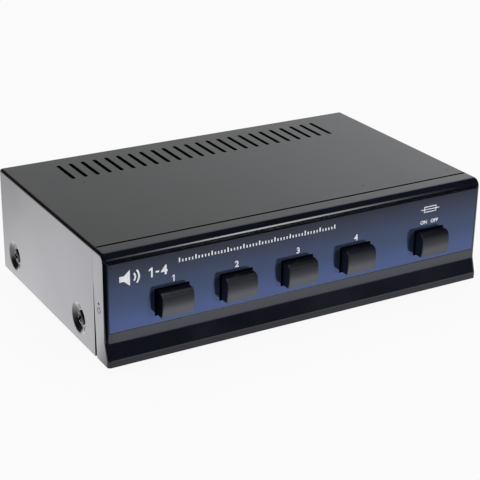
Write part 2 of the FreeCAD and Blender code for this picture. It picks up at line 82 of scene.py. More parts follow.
def feed(node, values):
    # links wires to a node's inputs and sets plain values; a list links each of its wires
    for name, value in values.items():
        for source in value if isinstance(value, list) else [value]:
            if isinstance(source, Wire):
                node.id_data.links.new(source.socket, node.inputs[name])
            else:
                node.inputs[name].default_value = source


class Wire:
    def __init__(self, tree, socket=None):
        self.tree = tree
        self.socket = socket

    def node(self, kind, sockets, output=0, stops=(), **settings):
        made = self.tree.nodes.new(kind)
        for name, value in settings.items():
            setattr(made, name, value)
        for k in range(2, len(stops)):         # a new ramp has two stops
            made.color_ramp.elements.new(0.5)
        for k, (place, tone) in enumerate(stops):
            made.color_ramp.elements[k].position = place
            made.color_ramp.elements[k].color = tone
        feed(made, sockets)
        return Wire(self.tree, made.outputs[output]) if made.outputs else made

    def output(self, which):           # another output of the same node
        return Wire(self.tree, self.socket.node.outputs[which])

    def maths(self, operation, other=0.0):
        return self.node("ShaderNodeMath", {0: self, 1: other}, operation=operation)

    def __add__(self, other):
        return self.maths("ADD", other)

    def __sub__(self, other):
        return self.maths("SUBTRACT", other)

    def __rsub__(self, other):
        return self.node("ShaderNodeMath", {0: other, 1: self}, operation="SUBTRACT")

    def __mul__(self, other):
        return self.maths("MULTIPLY", other)

    def __truediv__(self, other):
        return self.maths("DIVIDE", other)

    def __gt__(self, other):
        return self.maths("GREATER_THAN", other)

    __radd__ = __add__
    __rmul__ = __mul__

    def between(self, low, high):      # 0 below low, 1 above high, smooth between
        return self.node("ShaderNodeMapRange", {"Value": self, "From Min": low, "From Max": high},
                         interpolation_type="SMOOTHSTEP")

    def mix(self, first, second):      # two colours, with this value as the factor
        return self.node("ShaderNodeMix", {0: self, 6: first, 7: second}, 2, data_type="RGBA")


def grey(level):
    return (level, level, level, 1.0)


def colour(red, green, blue):
    return (red, green, blue, 1.0)


def newFinish(name):
    material = bpy.data.materials.new(name)
    material.use_nodes = True
    place = Wire(material.node_tree).node("ShaderNodeTexCoord", {}, 3)
    return material, material.node_tree.nodes["Principled BSDF"], place


def noise(place, size, detail=3.0, roughness=0.5):
    # cloudy values about 0.5, with blotches of the given size in metres
    return place.node("ShaderNodeTexNoise", {"Vector": place, "Scale": 1.0 / size, "Detail": detail,
                                             "Roughness": roughness})


def bumps(height, distance):
    return height.node("ShaderNodeBump", {"Height": height, "Distance": distance, "Strength": 1.0})


def specks(place, size, share, core=0.05, edge=0.22):
    # small round spots in a random few of the cells
    cells = place.node("ShaderNodeTexVoronoi", {"Vector": place, "Scale": 1.0 / size}, feature="F1")
    pick = place.node("ShaderNodeSeparateColor", {"Color": cells.output(1)})
    return (1.0 - cells.between(core, edge)) * (pick > 1.0 - share)


paint = {"dark": grey(0.0055), "light": grey(0.0085), "cloudSize": 45.0, "dustSize": 5.5,
         "dustShare": 0.02, "dustTone": 0.05, "dustColour": grey(0.35), "dustRough": 0.25,
         "smudgeSize": 38.0, "smudge": 0.05, "rough": 0.2, "grainSize": 1.1, "grainHeight": 0.006,
         "ior": 1.45}
gloss = dict(paint, dark=colour(0.003, 0.0038, 0.009), light=colour(0.0045, 0.0055, 0.012), grainSize=0.7,
             grainHeight=0.002, rough=0.1, smudge=0.04, smudgeSize=22.0, dustTone=0.04)
matte = dict(paint, dark=grey(0.011), light=grey(0.018), rough=0.42, smudge=0.08, smudgeSize=9.0,
             grainSize=0.28, grainHeight=0.02, dustTone=0.03, cloudSize=8.0, dustSize=3.0)
plated = {"tint": colour(0.62, 0.62, 0.6), "stainTint": colour(0.38, 0.36, 0.32), "stain": 0.5,
          "stainSize": 3.0, "stainRough": 0.1, "streakSize": 0.5, "rough": 0.24, "spread": 0.14,
          "depth": 0.004}


def mouldedFinish(name, base, **changes):
    # paint or plastic: base colour with a little cloudiness, dust, smudges and a fine grain
    look = dict(base, **changes)
    material, shader, place = newFinish(name)
    clouds = noise(place, look["cloudSize"] * mm).between(0.3, 0.7)
    dust = specks(place, look["dustSize"] * mm, look["dustShare"])
    smudge = noise(place, look["smudgeSize"] * mm, 4.0, 0.6).between(0.42, 0.72)
    grain = noise(place, look["grainSize"] * mm, 2.0)
    feed(shader, {
        "Base Color": (dust * look["dustTone"]).mix(clouds.mix(look["dark"], look["light"]),
                                                    look["dustColour"]),
        "Roughness": look["rough"] + smudge * look["smudge"] + dust * look["dustRough"],
        "Normal": bumps(grain, look["grainHeight"] * mm),
        "IOR": look["ior"],
    })
    return material


def metalFinish(name, **changes):
    # plated metal with fine streaks and stains
    look = dict(plated, **changes)
    material, shader, place = newFinish(name)
    streaks = noise(place, look["streakSize"] * mm, 5.0, 0.65)
    stains = noise(place, look["stainSize"] * mm).between(0.45, 0.7)
    spread = streaks.between(0.3, 0.7) * look["spread"]
    feed(shader, {
        "Base Color": (stains * look["stain"]).mix(look["tint"], look["stainTint"]),
        "Metallic": 1.0,
        "Roughness": look["rough"] + spread + stains * look["stainRough"],
        "Normal": bumps(streaks, look["depth"] * mm),
    })
    return material


board = {"trackPitch": 6.5, "trackLength": 19.0, "trackGap": 0.9, "weaveSize": 0.6, "relief": 0.04,
         "rough": 0.3, "mask": colour(0.008, 0.12, 0.035), "track": colour(0.02, 0.2, 0.05),
         "weave": colour(0.012, 0.15, 0.045), "coat": 0.4, "coatRough": 0.2}


def boardFinish():
    # green solder mask over copper tracks, with the weave of the laminate under it
    material, shader, place = newFinish("board_laminate")
    tracks = place.node("ShaderNodeTexBrick", {
        "Vector": place, "Scale": 1.0, "Mortar Size": board["trackGap"] * mm, "Mortar Smooth": 0.2,
        "Brick Width": board["trackLength"] * mm, "Row Height": board["trackPitch"] * mm}, 1,
        offset=0.5, squash=1.0)
    weave = noise(place, board["weaveSize"] * mm, 2.0)
    feed(shader, {
        "Base Color": weave.between(0.3, 0.8).mix(tracks.mix(board["mask"], board["track"]),
                                                  board["weave"]),
        "Roughness": board["rough"] + weave * 0.12,
        "Normal": bumps(tracks * 0.5 + weave * 0.3, board["relief"] * mm),
        "Coat Weight": board["coat"],
        "Coat Roughness": board["coatRough"],
    })
    return material


labelInk = {"dotPitch": 1.05, "dotDepth": 0.24, "dotCore": 0.3, "dotGrowth": 0.28, "dotEdge": 0.12,
            "relief": 0.002, "rough": 0.08, "ior": 1.45, "metallic": 0.52,
            "ground": colour(0.01, 0.014, 0.03),
            "stops": [(0.0, colour(0.018, 0.022, 0.034)), (0.1, colour(0.028, 0.036, 0.062)),
                      (0.226, colour(0.034, 0.045, 0.082)), (0.4, colour(0.036, 0.054, 0.108)),
                      (0.85, colour(0.032, 0.053, 0.133)), (1.0, colour(0.032, 0.053, 0.137))]}


def labelFinish():
    # charcoal at the top runs down into blue, by a fine grid of round dots that grow
    material, shader, place = newFinish("label_halftone_print")
    across = place.node("ShaderNodeSeparateXYZ", {"Vector": place})
    up = across.output(2)
    fade = 1.0 - (up - labelLow.z) / (labelHigh.z - labelLow.z)
    pitch = labelInk["dotPitch"] * mm
    cellX, cellZ = [(way / pitch + 200.0).maths("FRACT") - 0.5 for way in (across, up)]
    reach = (cellX * cellX + cellZ * cellZ).maths("SQRT")
    dots = labelInk["dotCore"] + fade * labelInk["dotGrowth"] - reach
    dots = dots.between(-labelInk["dotEdge"], labelInk["dotEdge"])
    cloud = noise(place, 14.0 * mm).between(0.2, 0.8)
    ink = fade.node("ShaderNodeValToRGB", {"Fac": fade}, stops=labelInk["stops"])
    feed(shader, {
        "Base Color": ((1.0 - dots) * labelInk["dotDepth"] + cloud * 0.05).mix(ink, labelInk["ground"]),
        "Metallic": labelInk["metallic"],
        "Roughness": labelInk["rough"] + cloud * 0.05,
        "Normal": bumps(dots + noise(place, 0.9 * mm, 2.0) * 0.6, labelInk["relief"] * mm),
        "IOR": labelInk["ior"],
    })
    return material


# the finish of each slot, and two more: painted shade for the inside of the groove, and the white print
finishes = {
    "cover_steel": mouldedFinish("cover_gloss_paint", paint),
    "chassis_steel": mouldedFinish(
        "pan_satin_paint", paint, rough=0.38, grainHeight=0.015, dark=grey(0.009), light=grey(0.013)),
    "bezel_plastic": mouldedFinish("bezel_gloss_plastic", gloss),
    "button_plastic": mouldedFinish(
        "button_gloss_plastic", gloss, rough=0.3, smudgeSize=6.0, dark=colour(0.002, 0.0026, 0.005),
        light=colour(0.003, 0.004, 0.0075)),
    # inside the groove: near-black and rough, painted shade standing in for the shade in the recess
    "groove": mouldedFinish(
        "groove_rough_plastic", matte, dark=grey(0.001), light=grey(0.002), rough=0.85, dustTone=0.0),
    "terminal_plastic": mouldedFinish("terminal_matte_plastic", matte),
    "lever_red": mouldedFinish(
        "lever_red_plastic", matte, rough=0.3, grainHeight=0.008, dark=colour(0.38, 0.012, 0.01),
        light=colour(0.46, 0.02, 0.015)),
    "lever_black": mouldedFinish("lever_black_plastic", matte, rough=0.3, grainHeight=0.008),
    "foot_rubber": mouldedFinish(
        "foot_rubber", matte, rough=0.7, grainSize=0.4, grainHeight=0.05, dark=grey(0.012),
        light=grey(0.022), dustTone=0.2, dustShare=0.2, dustSize=1.5),
    "switch_plastic": mouldedFinish("switch_housing_plastic", matte, dark=grey(0.02), light=grey(0.03)),
    "plunger_nylon": mouldedFinish("plunger_nylon", matte, dark=grey(0.62), light=grey(0.72), rough=0.45),
    "resistor_ceramic": mouldedFinish(
        "resistor_cement", matte, dark=grey(0.48), light=grey(0.62), rough=0.85, grainSize=0.5,
        grainHeight=0.12),
    "print": mouldedFinish(
        "white_print", gloss, dark=colour(0.72, 0.72, 0.76), light=colour(0.82, 0.82, 0.85), rough=0.35,
        cloudSize=3.0),
    "zinc_steel": metalFinish("zinc_plate"),
    "black_screw": metalFinish(
        "black_oxide_screw", tint=grey(0.012), stainTint=grey(0.03), rough=0.3, spread=0.12),
    "spring_steel": metalFinish("spring_wire", tint=grey(0.55), rough=0.2, depth=0.002),
    "contact_metal": metalFinish("contact_plate", tint=colour(0.72, 0.7, 0.64), rough=0.28),
    "label_print": labelFinish(),
    "board_laminate": boardFinish(),
}
for node in frame["nodes"].values():
    for slot in node.material_slots:
        slot.material = finishes[slot.material.name.split(".")[0]]
print("finishes made")


# ---- mesh helpers

def added(name, data):
    made = bpy.data.objects.new(name, data)
    scene.collection.objects.link(made)
    return made


def pieceFrom(name, mesh, finish):
    mesh.materials.clear()
    mesh.materials.append(finishes[finish])
    return added(name, mesh)


def meshOf(piece):
    # keeps the mesh of a helper piece and drops the piece
    mesh = piece.data
    bpy.data.objects.remove(piece)
    return mesh


def fit(piece, replaced=None, body="case"):
    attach(piece, body)
    if replaced:
        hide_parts(replaced)
    return piece


def reworked(mesh, change):
    build = bmesh.new()
    build.from_mesh(mesh)
    change(build)
    build.to_mesh(mesh)
    build.free()
    return mesh


def clean(build):
    bmesh.ops.remove_doubles(build, verts=build.verts, dist=weld)
    bmesh.ops.dissolve_degenerate(build, edges=build.edges, dist=weld)
    bmesh.ops.recalc_face_normals(build, faces=build.faces)


def meshFrom(name, points, faces):
    mesh = bpy.data.meshes.new(name)
    mesh.from_pydata(points, [], faces)
    return reworked(mesh, clean)


def settle(piece):
    # turns what the modifiers make into the piece's own plain mesh
    depsgraph = bpy.context.evaluated_depsgraph_get()
    mesh = bpy.data.meshes.new_from_object(piece.evaluated_get(depsgraph), depsgraph=depsgraph)
    piece.modifiers.clear()
    piece.data = mesh
    return piece


def soften(piece, width=0.0, segments=2, limit=38.0, sharpY=None):
    # small rounded edges, and shading that keeps the flat faces flat; edges lying at sharpY stay sharp
    def weigh(build):
        weight = build.edges.layers.float.new("bevel_weight_edge")
        for edge in build.edges:
            folded = len(edge.link_faces) == 2 and edge.calc_face_angle() > math.radians(limit)
            kept = sharpY is not None and all(abs(vert.co.y - sharpY) < 1e-5 for vert in edge.verts)
            edge[weight] = 1.0 if folded and not kept else 0.0

    if width:
        reworked(piece.data, weigh)
        bevel = piece.modifiers.new("edges", "BEVEL")
        bevel.width = width * mm
        bevel.segments = segments
        bevel.limit_method = "WEIGHT"
        bevel.use_clamp_overlap = False
        settle(piece)
    piece.data.shade_smooth()
    piece.data.set_sharp_from_angle(angle=math.radians(limit + 5.0))
    weights = piece.modifiers.new("weights", "WEIGHTED_NORMAL")
    weights.keep_sharp = True
    weights.weight = 80
    return settle(piece)


def arcPoints(centre, radius, start, end, steps):
    # points of an arc about a centre, its angles in degrees from the first axis to the second
    turns = [math.radians(start + (end - start) * k / steps) for k in range(steps + 1)]
    return [(centre[0] + radius * math.cos(turn), centre[1] + radius * math.sin(turn)) for turn in turns]


def boxMesh(low, high):
    points = [(x, y, z) for x in (low[0], high[0]) for y in (low[1], high[1]) for z in (low[2], high[2])]
    faces = [(0, 1, 3, 2), (4, 6, 7, 5), (0, 4, 5, 1), (2, 3, 7, 6), (0, 2, 6, 4), (1, 5, 7, 3)]
    return meshFrom("box", points, faces)


def loftMesh(rings):
    # rings of points joined one to the next and closed at both ends
    count = len(rings[0])
    points = [point for ring in rings for point in ring]
    faces = [tuple(range(count)), tuple(range(len(points) - count, len(points)))]
    for start in range(0, len(points) - count, count):
        for k in range(count):
            after = start + (k + 1) % count
            faces.append((start + k, after, after + count, start + k + count))
    return meshFrom("loft", points, faces)


def rodMesh(centre, axis, profile, count=32):
    # a turned shape from rings of (radius, distance along the axis)
    turn = Vector((0, 0, 1)).rotation_difference(Vector(axis)).to_matrix()
    rings = []
    for radius, along in profile:
        ring = arcPoints((0.0, 0.0), radius, 0, 360, count)[:-1]
        rings.append([Vector(centre) + turn @ Vector((x, y, along)) for x, y in ring])
    return loftMesh(rings)


def prismMesh(outline, x0, x1):
    # a closed outline of (y, z) points drawn out along x
    return loftMesh([[(x, y, z) for y, z in outline] for x in (x0, x1)])


def roundedBarMesh(x0, x1, radius, steps, outline):
    # outline(inset) drawn out along x, drawn in towards two rounded ends
    turns = [math.radians(90 * k / steps) for k in range(steps + 1)]
    flat = (x1 - x0) / 2 - radius
    rings = []
    for side, order in ((-1, reversed(turns)), (1, turns)):
        for turn in order:
            x = (x0 + x1) / 2 + side * (flat + radius * math.sin(turn))
            rings.append([(x, y, z) for y, z in outline(radius * (1 - math.cos(turn)))])
    return loftMesh(rings)


def joined(name, meshes):
    build = bmesh.new()
    for mesh in meshes:
        build.from_mesh(mesh)
    mesh = bpy.data.meshes.new(name)
    build.to_mesh(mesh)
    build.free()
    return mesh


def carve(piece, meshes, operation="DIFFERENCE"):
    cutter = added("cutter", joined("cutter", meshes))
    change = piece.modifiers.new("carve", "BOOLEAN")
    change.operation = operation
    change.solver = "EXACT"
    change.use_self = True
    change.object = cutter
    settle(piece)
    bpy.data.objects.remove(cutter)
    return piece


# ---- geometry node trees

inputKinds = {float: "Float", int: "Int", tuple: "Vector", bpy.types.Object: "Object",
              bpy.types.Material: "Material"}


def makeTree(layOut, values):
    # a geometry tree with an input for each value; layOut adds the nodes that make its shape
    tree = bpy.data.node_groups.new(layOut.__name__, "GeometryNodeTree")
    kinds = {label: inputKinds[type(value)] for label, value in values.items()}
    for label, kind in dict({"Geometry": "Geometry"}, **kinds).items():
        tree.interface.new_socket(label, in_out="INPUT", socket_type="NodeSocket" + kind)
    tree.interface.new_socket("Geometry", in_out="OUTPUT", socket_type="NodeSocketGeometry")
    start = tree.nodes.new("NodeGroupInput")
    take = {socket.name: Wire(tree, socket) for socket in start.outputs}
    node = Wire(tree).node
    real = node("GeometryNodeRealizeInstances", {"Geometry": layOut(node, take)})
    painted = node("GeometryNodeSetMaterial", {"Geometry": real, "Material": take["Material"]})
    feed(tree.nodes.new("NodeGroupOutput"), {0: painted})
    return tree


def grow(name, layOut, values, mesh=None):
    # runs a node tree on a piece with the given inputs and keeps the plain result
    piece = added(name, mesh or bpy.data.meshes.new(name))
    modifier = piece.modifiers.new("grow", "NODES")
    modifier.node_group = bpy.data.node_groups.get(layOut.__name__) or makeTree(layOut, values)
    for item in modifier.node_group.interface.items_tree:
        if item.name in values:
            modifier[item.identifier] = values[item.name]
    return settle(piece)


def ventedSheet(node, take):
    # a flat sheet with a row of round-ended slots
    sheet = node("GeometryNodeCurvePrimitiveQuadrilateral", {"Width": take["Width"], "Height": take["Depth"]})
    slot = node("GeometryNodeCurvePrimitiveQuadrilateral",
                {"Width": take["Slot Width"], "Height": take["Slot Length"]})
    radius = take["Slot Width"] * 0.499    # just under half, so that the arcs don't meet
    slot = node("GeometryNodeFilletCurve", {"Curve": slot, "Count": 6, "Radius": radius}, mode="POLY")
    span = (take["Slots"] - 1.0) * take["Pitch"]
    first = node("ShaderNodeCombineXYZ", {"X": span * -0.5, "Y": take["Row Y"]})
    step = node("ShaderNodeCombineXYZ", {"X": take["Pitch"]})
    row = node("GeometryNodeMeshLine", {"Count": take["Slots"], "Start Location": first, "Offset": step},
               mode="OFFSET")
    slots = node("GeometryNodeInstanceOnPoints", {"Points": row, "Instance": slot})
    slots = node("GeometryNodeRealizeInstances", {"Geometry": slots})
    outline = node("GeometryNodeJoinGeometry", {"Geometry": [slots, sheet]})
    return node("GeometryNodeFillCurve", {"Curve": outline}, mode="TRIANGLES")


def fastenerSet(node, take):
    # one screw or foot at each point, turned to the point's aim and spun at random about it
    shape = node("GeometryNodeObjectInfo", {"Object": take["Piece"]}, 4, transform_space="ORIGINAL")
    aim = node("GeometryNodeInputNamedAttribute", {"Name": "aim"}, data_type="FLOAT_VECTOR")
    turn = node("FunctionNodeAlignRotationToVector", {"Vector": aim}, axis="Z")
    angle = node("FunctionNodeRandomValue", {"Seed": take["Seed"], 3: take["Spin"]}, 1, data_type="FLOAT")
    spin = node("ShaderNodeCombineXYZ", {"Z": angle})
    turn = node("FunctionNodeRotateRotation", {"Rotation": turn, "Rotate By": spin}, rotation_space="LOCAL")
    points = node("GeometryNodeMeshToPoints", {"Mesh": take["Geometry"]})
    return node("GeometryNodeInstanceOnPoints", {"Points": points, "Instance": shape, "Rotation": turn})


def coilSpring(node, take):
    # round wire wound about z, then turned and set in place
    coil = node("GeometryNodeCurveSpiral", {
        "Resolution": take["Steps"], "Rotations": take["Turns"], "Start Radius": take["Radius"],
        "End Radius": take["Radius"], "Height": take["Length"]})
    section = node("GeometryNodeCurvePrimitiveCircle", {"Resolution": take["Sides"], "Radius": take["Wire"]},
                   mode="RADIUS")
    wire = node("GeometryNodeCurveToMesh", {"Curve": coil, "Profile Curve": section, "Fill Caps": True})
    return node("GeometryNodeTransform",
                {"Geometry": wire, "Translation": take["Place"], "Rotation": take["Turn"]})


def scatter(name, shape, places, finish, seed):
    # places are (point, direction that the shape's own z turns to)
    spots = bpy.data.meshes.new(name)
    spots.from_pydata([point for point, aim in places], [], [])
    aims = spots.attributes.new("aim", "FLOAT_VECTOR", "POINT")
    aims.data.foreach_set("vector", [part for point, aim in places for part in aim])
    source = soften(pieceFrom("shape", shape, finish))
    piece = grow(name, fastenerSet, {"Piece": source, "Seed": seed, "Spin": math.pi,
                                     "Material": finishes[finish]}, spots)
    bpy.data.objects.remove(source)
    return piece


def screwShape(size):
    # head up along z with its underside at zero, and a cross cut into it
    s = scaled(size)
    height = s["height"]
    foot = size["domeFoot"]
    rim = (0.97, 0.12)       # how far the head's underside draws in, and where the full width starts
    profile = [(s["shank"] * 0.5, -s["length"]), (s["shank"], -s["length"] + s["shank"]),
               (s["shank"], 0.0), (s["head"] * rim[0], 0.0), (s["head"], height * rim[1])]
    for angle in (0, 15, 30, 45, 60, 75):
        turn = math.radians(angle)
        profile.append((s["head"] * math.cos(turn), height * (foot + (1 - foot) * math.sin(turn))))
    piece = pieceFrom("screw", rodMesh((0, 0, 0), (0, 0, 1), profile, size["sides"]), "zinc_steel")
    mouth = (s["recess"], s["recessWidth"], height * 1.4)
    floor = (s["recess"] * 0.35, s["recessWidth"] * 0.6, height - s["recessDepth"])
    corners = ((-1, -1), (1, -1), (1, 1), (-1, 1))
    for angle in (0, 90):
        wing = loftMesh([[(x * reach, y * wide, z) for x, y in corners] for reach, wide, z in (mouth, floor)])
        wing.transform(Matrix.Rotation(math.radians(angle), 4, "Z"))
        carve(piece, [wing])
    return meshOf(piece)


# ---- top cover

cover = {"sheet": 1.0, "bend": 1.6, "vents": 24, "ventPitch": 6.38, "ventWidth": 2.0, "ventLength": 20.3,
         "ventRear": 9.1, "dimpleZ": 11.0, "mouth": 7.0, "floor": 4.4, "depth": 1.8, "lip": 0.5,
         "hole": 2.1, "edge": 0.16, "bendSteps": 8, "dimpleSides": 48}


def dimpleRings(side, y):
    # from the flat of the side, over a soft lip, down the wall and across the floor
    z = baseZ + cover["dimpleZ"] * mm
    lip = cover["lip"]
    floor = cover["floor"]
    deep = cover["depth"]
    wallTop = cover["mouth"] + 0.1
    slope = (wallTop - floor) / deep
    steps = [(wallTop + lip, 0.0), (wallTop + lip * 0.5, 0.03), (wallTop + lip * 0.15, 0.14),
             (wallTop - 0.3 * slope, 0.34), (floor + 0.35 * slope, deep - 0.35),
             (floor - 0.05, deep - 0.08), (floor - 0.35, deep), (cover["hole"], deep)]
    return [[(side * (halfWidth - depth * mm), *spot)
             for spot in arcPoints((y, z), radius * mm, 0, 360, cover["dimpleSides"])[:-1]]
            for radius, depth in steps]


def coverSide(build, side, dimpleYs):
    def loop(spots):
        ends = [build.verts.new(spot) for spot in spots]
        edges.extend(build.edges.new((ends[k], ends[(k + 1) % len(ends)])) for k in range(len(ends)))
        return ends

    bend = cover["bend"] * mm
    edges = []
    loop([(side * halfWidth, y, z) for y, z in (
        (coverLow.y, baseZ), (coverHigh.y, baseZ), (coverHigh.y, topZ - bend), (coverLow.y, topZ - bend))])
    for y in dimpleYs:
        rings = dimpleRings(side, y)
        before = loop(rings[0])
        for ring in rings[1:]:
            spots = [build.verts.new(spot) for spot in ring]
            for k in range(len(spots)):
                after = (k + 1) % len(spots)
                build.faces.new((before[k], before[after], spots[after], spots[k]))
            before = spots
    bmesh.ops.triangle_fill(build, use_beauty=True, use_dissolve=False, edges=edges, normal=(side, 0, 0))
    corner = arcPoints((halfWidth - bend, topZ - bend), bend, 0, 90, cover["bendSteps"])
    front, back = [[build.verts.new((side * x, y, z)) for x, z in corner] for y in (coverLow.y, coverHigh.y)]
    for k in range(cover["bendSteps"]):
        build.faces.new((front[k], front[k + 1], back[k + 1], back[k]))


def coverScrewSpots():
    low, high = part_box("cover_screws")
    reach = (high.z - low.z) / 2
    return low.z + reach, (low.y + reach, high.y - reach)


def makeCover():
    depth = coverHigh.y - coverLow.y
    flat = grow("flat", ventedSheet, {
        "Width": 2 * (halfWidth - cover["bend"] * mm), "Depth": depth, "Slots": cover["vents"],
        "Pitch": cover["ventPitch"] * mm, "Slot Width": cover["ventWidth"] * mm,
        "Slot Length": cover["ventLength"] * mm,
        "Row Y": depth / 2 - (cover["ventRear"] + cover["ventLength"] / 2) * mm,
        "Material": finishes["cover_steel"]})
    build = bmesh.new()
    build.from_mesh(meshOf(flat))
    bmesh.ops.translate(build, verts=build.verts, vec=(0, (coverLow.y + coverHigh.y) / 2, topZ))
    for side in (-1, 1):
        coverSide(build, side, coverScrewSpots()[1])
    bmesh.ops.remove_doubles(build, verts=build.verts, dist=1e-6)
    bmesh.ops.recalc_face_normals(build, faces=build.faces)
    top = max(build.faces, key=lambda face: face.calc_center_median().z)
    if top.normal.z < 0:
        bmesh.ops.reverse_faces(build, faces=build.faces)
    bmesh.ops.dissolve_limit(build, angle_limit=math.radians(1.0), verts=build.verts, edges=build.edges)
    mesh = bpy.data.meshes.new("top_cover_sheet")
    build.to_mesh(mesh)
    build.free()
    piece = pieceFrom("top_cover_sheet", mesh, "cover_steel")
    wall = piece.modifiers.new("wall", "SOLIDIFY")
    wall.thickness = cover["sheet"] * mm
    wall.offset = -1.0
    soften(settle(piece), cover["edge"], sharpY=coverLow.y)
    fit(piece, "top_cover")


makeCover()
print("cover made")


# ---- cover screws

coverScrew = {"head": 3.4, "height": 1.4, "shank": 1.95, "length": 7.9, "recess": 2.6,
              "recessWidth": 0.72, "recessDepth": 1.2, "domeFoot": 0.16, "sides": 40}


def makeCoverScrews():
    z, ys = coverScrewSpots()
    seat = halfWidth - cover["depth"] * mm
    places = [((side * seat, y, z), (side, 0, 0)) for side in (-1, 1) for y in ys]
    piece = scatter("case_screws", screwShape(coverScrew), places, "black_screw", 7)
    fit(piece, "cover_screws")


makeCoverScrews()
print("cover screws made")


# ---- front bezel

bezel = {"wall": 2.0, "topRadius": 4.0, "endRadius": 1.6, "lipHeight": 3.1, "flareTop": 10.7,
         "topSeam": 1.2, "sideGap": 1.8, "sideGapTop": 36.0, "grooveWidth": 1.2, "grooveDepth": 0.9,
         "pocketDepth": 0.5, "clearance": 0.1, "opening": 0.6, "edge": 0.18, "crease": 0.55,
         "lipCrease": 0.4, "markY": 6.0, "holeZ": 27.6, "holeRadius": 0.6, "holeDepth": 0.5,
         "ringZ": 24.4, "ringRadius": 1.7, "ringDepth": 0.12}


def bezelOutline(inset):
    # the outside in (y, z), drawn in by inset on the front and the top
    b = scaled(bezel)
    front = panelY + inset
    top = topZ - inset
    lip = bezelLow.y + inset
    flare = baseZ + b["flareTop"]
    lipTop = baseZ + b["lipHeight"]
    centre = (panelY + b["topRadius"], topZ - b["topRadius"])
    slope = Vector((lip - front, lipTop - flare)).normalized()
    upper = b["crease"]
    lower = b["lipCrease"]
    return ([(bezelHigh.y, top)] + arcPoints(centre, b["topRadius"] - inset, 90, 180, 14)
            + [(front, flare + upper), (front + slope.x * upper, flare + slope.y * upper),
               (lip - slope.x * lower, lipTop - slope.y * lower), (lip, lipTop - lower),
               (lip, baseZ), (bezelHigh.y, baseZ)])


def sideMarks(side):
    # cutters for a small hole and for a faint ring below it
    b = scaled(bezel)
    axis = (side, 0, 0)
    x = side * halfWidth
    y = panelY + b["markY"]
    radius = b["holeRadius"]
    deep = -b["holeDepth"]
    profile = [(radius * 0.4, deep * 1.6), (radius * 0.5, deep), (radius, 0.0), (radius * 1.5, past)]
    hole = rodMesh((x, y, baseZ + b["holeZ"]), axis, profile)
    radius = b["ringRadius"]
    deep = -b["ringDepth"]
    spot = (x, y, baseZ + b["ringZ"])
    ring = pieceFrom("ring", rodMesh(spot, axis, [(radius * 0.85, deep), (radius * 1.15, past)]),
                     "bezel_plastic")
    carve(ring, [rodMesh(spot, axis, [(radius * 0.75, 2 * deep), (radius * 0.45, 2 * past)])])
    return [hole, meshOf(ring)]


def buttonOpenings(rear):
    # a cutter for each button's opening, from before the panel back to rear
    edge = bezel["opening"] * mm
    cutters = []
    for name in buttonNames:
        low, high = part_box(name)
        cutters.append(boxMesh((low.x - edge, panelY - past, low.z - edge),
                               (high.x + edge, rear, high.z + edge)))
    return cutters


def makeBezel():
    b = scaled(bezel)
    wall = b["wall"]
    gap = b["clearance"]
    rear = bezelHigh.y
    lip = bezelLow.y + wall
    front = panelY + wall
    grooveTop = labelHigh.z + gap + b["grooveWidth"]
    flatX = halfWidth - cover["bend"] * mm
    piece = pieceFrom("front_bezel_moulding",
                      roundedBarMesh(-halfWidth, halfWidth, b["endRadius"], 6, bezelOutline), "bezel_plastic")
    hollow = prismMesh([(rear + past, baseZ + wall), (lip, baseZ + wall), (lip, baseZ + b["lipHeight"]),
                        (front, baseZ + b["flareTop"]), (front, topZ - wall), (rear + past, topZ - wall)],
                       -halfWidth + wall, halfWidth - wall)
    pocket = boxMesh((labelLow.x - gap, panelY - past, labelLow.z - gap),
                     (labelHigh.x + gap, panelY + b["pocketDepth"], labelHigh.z + gap))
    groove = boxMesh((labelLow.x, panelY - past, labelHigh.z),
                     (labelHigh.x, panelY + b["grooveDepth"], grooveTop))
    seam = boxMesh((-flatX, coverLow.y - b["topSeam"], topZ - wall), (flatX, rear + past, topZ + past))
    gapTop = baseZ + b["sideGapTop"]
    foot = coverLow.y - b["sideGap"]
    wedge = [(coverLow.y - gap, gapTop), (foot, baseZ), (foot, baseZ - past), (rear + past, baseZ - past),
             (rear + past, gapTop)]
    inner = halfWidth - wall - past
    outer = halfWidth + past
    wedges = [prismMesh(wedge, -outer, -inner), prismMesh(wedge, inner, outer)]
    for cutters in ([hollow], [pocket, groove, seam], buttonOpenings(front + past), wedges,
                    sideMarks(-1) + sideMarks(1)):
        carve(piece, cutters)
    soften(piece, bezel["edge"], 3, sharpY=rear)
    for vert in piece.data.vertices:   # the shallow rings' bevels end flush with the sides
        vert.co.x = max(-halfWidth, min(halfWidth, vert.co.x))
    soften(piece)
    # the faces inside the groove take the near-black rough finish: painted shade for the recess
    piece.data.materials.append(finishes["groove"])
    for face in piece.data.polygons:
        spot = face.center
        if labelHigh.z < spot.z < grooveTop + gap and panelY + gap < spot.y < panelY + wall * 0.9:
            face.material_index = 1
    return fit(piece, "front_bezel")


bezelPiece = makeBezel()
print("bezel made")


# ---- front label and its print

label = {"edge": 0.06, "printLift": 0.02, "digitHeight": 3.1, "digitZ": 33.55,
         "digitXs": (-67.2, -35.9, -3.9, 27.8)}

